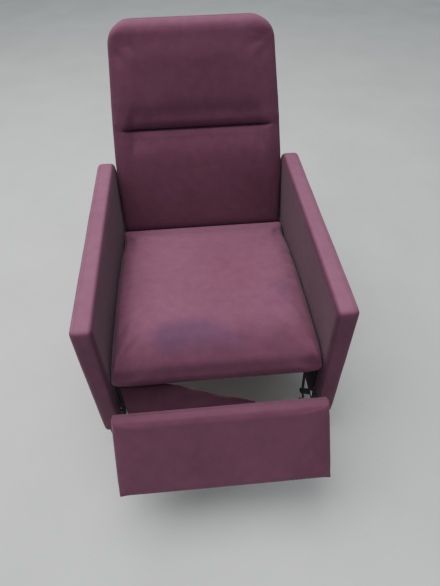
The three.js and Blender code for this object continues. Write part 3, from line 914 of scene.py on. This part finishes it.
@dataclass
class FootrestPanel:
    """The padded panel and the cloth wrapped round its board."""

    finishes: Finishes
    half: float = 0.2718
    low: float = -0.208
    front: float = -0.0415
    joint: float = -0.0153
    wall: float = 0.0011
    board_edge: float = 0.0169
    turned_in: float = 0.030
    strip: float = 0.0475

    def build(self) -> None:
        """Make the pad and the wrapped border."""
        obj = from_bmesh("footrest_pad_cover", self._block())
        Stuffing(voxel=0.0052, cap=0.0032, start_inset=0.001, pressure=2.5).fill(obj, self._freedom)
        p = TILT.inward(read_points(obj.data))
        x, d, v = p[:, 0], p[:, 1], p[:, 2]
        face = ramp(-d, 0.030, 0.040)
        roll = bell(v, -0.016, 0.014)
        d = d - face * 0.0010 * roll * (1 - ramp(np.abs(x), 0.25, 0.268))
        p[:, 0] = np.clip(x * self.half / np.abs(x).max(), -self.half, self.half)
        rear = d > -0.0225
        edge = rear & (np.abs(p[:, 0]) > self.half - 0.006)
        p[:, 0] = np.where(edge, np.sign(x) * self.half, p[:, 0])
        p[:, 2] = np.where(rear & (v > -0.006), 0.0, np.where(rear & (v < self.low + 0.006), self.low, v))
        p[:, 1] = np.minimum(np.where(d > -0.018, self.joint, d), self.joint)
        write_points(obj.data, TILT.outward(p))
        world, n = read_points(obj.data), read_normals(obj.data)
        ends_on = np.abs(n @ TILT.height_axis)
        # Painted light: the lip and the top end face are made paler, as lit from above.
        lip = ramp(p[:, 2], -0.012, 0.0) * 0.12
        paint(obj.data, "fade_and_light", 0.18 + lip + 0.1 * ramp(ends_on, 0.7, 1.0) * (p[:, 2] > -0.02)
              + 0.04 * ripple(world, 9.0, 5.0))
        hem = ramp(-p[:, 2], 0.196, 0.206)
        paint(obj.data, "rust", 0.35 * hem)
        paint(obj.data, "seam_and_shade", 0.10 * hem)
        finish_piece(obj, Body.FOOTREST, self.finishes, ["footrest_pad"])
        self._wrap()

    def _freedom(self, points: Points, normals: Points) -> Points:
        """Free on the face, held against the board."""
        p = TILT.inward(points)
        return ramp(-p[:, 1], 0.018, 0.036)

    def _block(self) -> bmesh.types.BMesh:
        """The pad as a slab with its front edges rolled.

        Returns:
            The closed slab in the row frame.
        """
        bm = block((2 * self.half, self.joint - self.front, -self.low),
                   (0, (self.joint + self.front) / 2, self.low / 2))
        rim = [e for e in bm.edges if all(abs(v.co.y - self.front) < 1e-5 for v in e.verts)]
        ease(bm, rim, 0.006, 4)
        bmesh.ops.recalc_face_normals(bm, faces=bm.faces)
        bm.transform(TILT.matrix)
        return bm

    def _wrap(self) -> None:
        """Cloth pulled round the board's edges and stapled behind."""
        bm = bmesh.new()
        half, top, low = self.half - self.wall, -self.wall, self.low + self.wall
        outline = ((-half, low), (half, low), (half, top), (-half, top))
        corners = [bm.verts.new((x, self.joint, z)) for x, z in outline]
        ring = [bm.edges.new((corners[i], corners[(i + 1) % 4])) for i in range(4)]
        made = bmesh.ops.extrude_edge_only(bm, edges=ring)
        back = [g for g in made["geom"] if isinstance(g, bmesh.types.BMVert)]
        bmesh.ops.translate(bm, vec=(0, self.board_edge, 0), verts=back)
        rim = [e for e in bm.edges if all(v in set(back) for v in e.verts)]
        made = bmesh.ops.extrude_edge_only(bm, edges=rim)
        inner = [g for g in made["geom"] if isinstance(g, bmesh.types.BMVert)]
        for vert in inner:
            vert.co.x -= math.copysign(self.turned_in, vert.co.x)
            vert.co.z += 0.028 if vert.co.z < -0.1 else -0.018
        bmesh.ops.recalc_face_normals(bm, faces=bm.faces)
        bmesh.ops.subdivide_edges(bm, edges=bm.edges, cuts=12, use_grid_fill=True)
        bm.transform(TILT.matrix)
        obj = from_bmesh("footrest_border", bm)
        wall = obj.modifiers.new("wall", "SOLIDIFY")
        wall.thickness, wall.offset = self.wall, 1.0
        apply_modifiers(obj)
        paint(obj.data, "fade_and_light", np.full(len(obj.data.vertices), 0.28))
        finish_piece(obj, Body.FOOTREST, self.finishes)


@dataclass
class FrontApron:
    """The torn strip of cloth between the seat's front edge and the footrest."""

    finishes: Finishes
    columns: int = 96
    rows: int = 26
    cloth: float = 0.0012
    anchor: tuple[float, float, float] = (0, 4, 335)
    seat_edge: tuple[tuple[float, float, float], ...] = (
        (-262, 4, 335), (-205, 4, 335), (-165, 4, 335), (-128, 4, 334), (-70, -16, 331), (0, -37, 323),
        (104, -58, 310))
    panel_top: tuple[tuple[float, float, float], ...] = (
        (-243, -59, 307), (-190, -59, 307), (-150, -59, 307), (-108, -59, 307), (-60, -59, 307),
        (0, -59, 307), (108, -60, 308))

    def build(self) -> bpy.types.Object:
        """Hang and dress the strip."""
        bm = bmesh.new()
        bmesh.ops.create_grid(bm, x_segments=self.columns, y_segments=self.rows, size=0.5)
        obj = from_bmesh("front_apron_cloth", bm)
        flat = read_points(obj.data)
        u, t = flat[:, 0] + 0.5, 0.5 - flat[:, 1]
        top, low = self._edge(self.seat_edge, u), self._edge(self.panel_top, u)
        p = top * (1 - t)[:, None] + low * t[:, None]
        sag = np.sin(np.pi * t) * (1 - 0.9 * u)
        folds = np.sin(2 * np.pi * (3.2 * u + 0.35 * t)) * (1 - u) ** 0.5
        p[:, 2] -= 0.011 * sag + 0.0022 * folds * np.sin(np.pi * t)
        free = ramp(u, 0.45, 0.6) * (1 - ramp(t, 0.0, 0.25))
        p[:, 2] -= 0.004 * free * (0.5 + 0.5 * np.sin(40 * u))
        p[:, 1] -= 0.003 * free * ripple(np.stack([u * 9, t, t], 1), 1.0, 3.0)
        write_points(obj.data, p)
        wall = obj.modifiers.new("cloth", "SOLIDIFY")
        wall.thickness, wall.offset = self.cloth, 0.0
        apply_modifiers(obj)
        count = len(obj.data.vertices)
        # Unfaded cloth, darkened all over as painted shade under the seat front.
        paint(obj.data, "fade_and_light", np.full(count, 0.0))
        paint(obj.data, "seam_and_shade", np.full(count, 1.0))
        finish_piece(obj, Body.SEAT, self.finishes, ["front_apron"])
        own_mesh(obj)
        return obj

    def _edge(self, line: tuple[tuple[float, float, float], ...], u: Points) -> Points:
        """Points along a guide line at shares u of its length."""
        knots = np.array([tuple(mm(*q)) for q in line])
        at = np.linspace(0, 1, len(knots))
        near = [np.stack([np.interp(np.clip(u + d, 0, 1), at, knots[:, k]) for k in range(3)], 1)
                for d in np.linspace(-0.09, 0.09, 7)]
        return sum(near) / len(near)


# ------------------------------------------------------------------------------------------ hard parts
@dataclass
class Woodwork:
    """The four legs with eased edges."""

    finishes: Finishes
    eased: float = 0.0022

    def build(self) -> None:
        """Replace each leg by one with softened edges."""
        for side in Side:
            for place in ("front", "rear"):
                node = f"{side.word}_{place}_leg"
                bm = bmesh.new()
                bm.from_mesh(frame["nodes"][node].data)
                bmesh.ops.remove_doubles(bm, verts=bm.verts, dist=1e-5)
                bmesh.ops.dissolve_limit(bm, angle_limit=0.02, verts=bm.verts, edges=bm.edges)
                ease(bm, bm.edges[:], self.eased, 3)
                obj = from_bmesh(node + "_turned", bm)
                obj.data.polygons.foreach_set("use_smooth", [False] * len(obj.data.polygons))
                finish_piece(obj, Body.BASE, self.finishes, [node], "dark_wood")


@dataclass(frozen=True)
class Fastening:
    """A domed rivet head on a washer, turned about X."""

    radius: float = 0.0058
    washer: float = 0.0078
    height: float = 0.0018

    def turn(self, at: Vector, outward: int) -> bpy.types.Mesh:
        """Spin one head.

        Args:
            at: the centre of its seat.
            outward: 1 or -1, the way it faces along X.

        Returns:
            The head's mesh.
        """
        bm = bmesh.new()
        h, r, w = self.height, self.radius, self.washer
        profile = ((h, 0), (0.95 * h, 0.4 * r), (0.7 * h, 0.8 * r), (0.3 * h, r),
                   (0.28 * h, w), (0, w), (0, 0))
        outline = [bm.verts.new((x, y, 0)) for x, y in profile]
        edges = [bm.edges.new(pair) for pair in zip(outline, outline[1:])]
        bmesh.ops.spin(bm, geom=outline + edges, axis=(1, 0, 0), cent=(0, 0, 0), steps=20, angle=2 * math.pi,
                       use_merge=True)
        bmesh.ops.remove_doubles(bm, verts=bm.verts, dist=1e-6)
        bmesh.ops.scale(bm, vec=(outward, 1, 1), verts=bm.verts)
        bmesh.ops.translate(bm, vec=at, verts=bm.verts)
        bmesh.ops.recalc_face_normals(bm, faces=bm.faces)
        mesh = bpy.data.meshes.new("head")
        bm.to_mesh(mesh)
        bm.free()
        return mesh


@dataclass
class Ironwork:
    """Rivet heads on the pivots and hinge studs, as chair millimetres (Y, Z)."""

    finishes: Finishes
    rear_pivot: tuple[float, float] = (90.0, 251.7)
    knee: tuple[float, float] = (74.64, 128.35)
    toe: tuple[float, float] = (-30.66, 284.46)
    hinge: tuple[float, float] = (660.0, 290.0)
    plate_face: float = 265.1
    link_face: float = 260.6
    bracket_face: float = 242.6

    def build(self) -> None:
        """Put the heads on, both sides."""
        for side in Side:
            plate = [(self.plate_face, *self.rear_pivot), (self.plate_face, *self.hinge)]
            knee, toe = (self.link_face, *self.knee), (self.bracket_face, *self.toe)
            self._heads(f"{side.word}_plate_rivets", Body.SEAT, side, plate, 1)
            self._heads(f"{side.word}_rear_link_rivet", Body.REAR_LINKS, side, [knee], 1)
            self._heads(f"{side.word}_toe_rivet", Body.UPPER_LINKS, side, [toe], -1)

    def _heads(self, name: str, body: Body, side: Side, places: list[tuple[float, float, float]],
               way: int) -> None:
        """Make one object of rivet heads.

        Args:
            name: the piece's name.
            body: what it moves with.
            side: the hand of the chair.
            places: chair millimetres on the right-hand side.
            way: 1 where the head faces away from the centre, -1 towards it.
        """
        bm = bmesh.new()
        for x, y, z in places:
            bm.from_mesh(Fastening().turn(mm(side.value * x, y, z), side.value * way))
        finish_piece(from_bmesh(name, bm), body, self.finishes, (), "zinc_steel")


# ------------------------------------------------------------------------------------------ studio
@dataclass
class Studio:
    """Pale floor, soft overhead light and the camera."""

    eye: Vector = field(default_factory=lambda: mm(-39.5, -678.1, 1363.9))
    pitch: float = 46.07
    yaw: float = 4.10
    roll: float = 1.24
    lens: float = 28.806

    def build(self) -> None:
        """Set the stage."""
        self._floor()
        self._lights()
        self._camera()

    def _floor(self) -> None:
        """Lay the floor under the feet."""
        bm = bmesh.new()
        bmesh.ops.create_grid(bm, x_segments=1, y_segments=1, size=14.0)
        floor = from_bmesh("floor", bm)
        floor.data.materials.append(Ground().build())

    def _lights(self) -> None:
        """A wide soft light above, a weak one in front and a dim even surround."""
        for name, at, aim, size, power in (
                ("overhead", (-0.8, 0.35, 3.4), (0.0, 0.0, 0.3), 3.4, 132.0),
                ("front_fill", (0.5, -3.4, 1.7), (0.0, 0.0, 0.4), 2.2, 11.0)):
            data = bpy.data.lights.new(name, "AREA")
            data.energy, data.size, data.color = power, size, (1.0, 0.985, 0.97)
            lamp = bpy.data.objects.new(name, data)
            lamp.location = at
            lamp.rotation_euler = (Vector(aim) - Vector(at)).to_track_quat("-Z", "Y").to_euler()
            bpy.context.scene.collection.objects.link(lamp)
        world = bpy.data.worlds.new("surround")
        world.use_nodes = True
        world.node_tree.nodes["Background"].inputs[0].default_value = (0.86, 0.93, 1.0, 1)
        world.node_tree.nodes["Background"].inputs[1].default_value = 0.30
        bpy.context.scene.world = world

    def _camera(self) -> None:
        """Stand the camera in front of the chair, looking down."""
        p, y, r = (math.radians(a) for a in (self.pitch, self.yaw, self.roll))
        ahead = Vector((math.sin(y) * math.cos(p), math.cos(y) * math.cos(p), -math.sin(p)))
        right = Vector((math.cos(y), -math.sin(y), 0))
        down = ahead.cross(right)
        turned_right = right * math.cos(r) + down * math.sin(r)
        turned_down = down * math.cos(r) - right * math.sin(r)
        data = bpy.data.cameras.new("view")
        data.lens, data.sensor_width, data.sensor_fit = self.lens, 36.0, "AUTO"
        camera = bpy.data.objects.new("view", data)
        rows = Matrix((turned_right, -turned_down, -ahead)).transposed()
        camera.matrix_world = Matrix.Translation(self.eye) @ rows.to_4x4()
        bpy.context.scene.collection.objects.link(camera)
        bpy.context.scene.camera = camera


def dress_nodes(finishes: Finishes) -> None:
    """Give every carried-over CAD node its finish, by the record's slot."""
    for part in frame["record"]["subparts"]:
        node = frame["nodes"][part["node"]]
        for place in node.material_slots:
            place.material = finishes.slots[part["material_slot"]]


def main() -> None:
    """Build the chair's visible pieces, then the studio."""
    logging.basicConfig(level=logging.INFO, format="%(name)s: %(message)s")
    finishes = Finishes()
    dress_nodes(finishes)
    Studio().build()
    SeatCushion(finishes).build()
    BackPads(finishes).build()
    for side in Side:
        ArmCover(finishes, side).build()
    FootrestPanel(finishes).build()
    FrontApron(finishes).build()
    Woodwork(finishes).build()
    Ironwork(finishes).build()


if __name__ == "__main__":
    main()
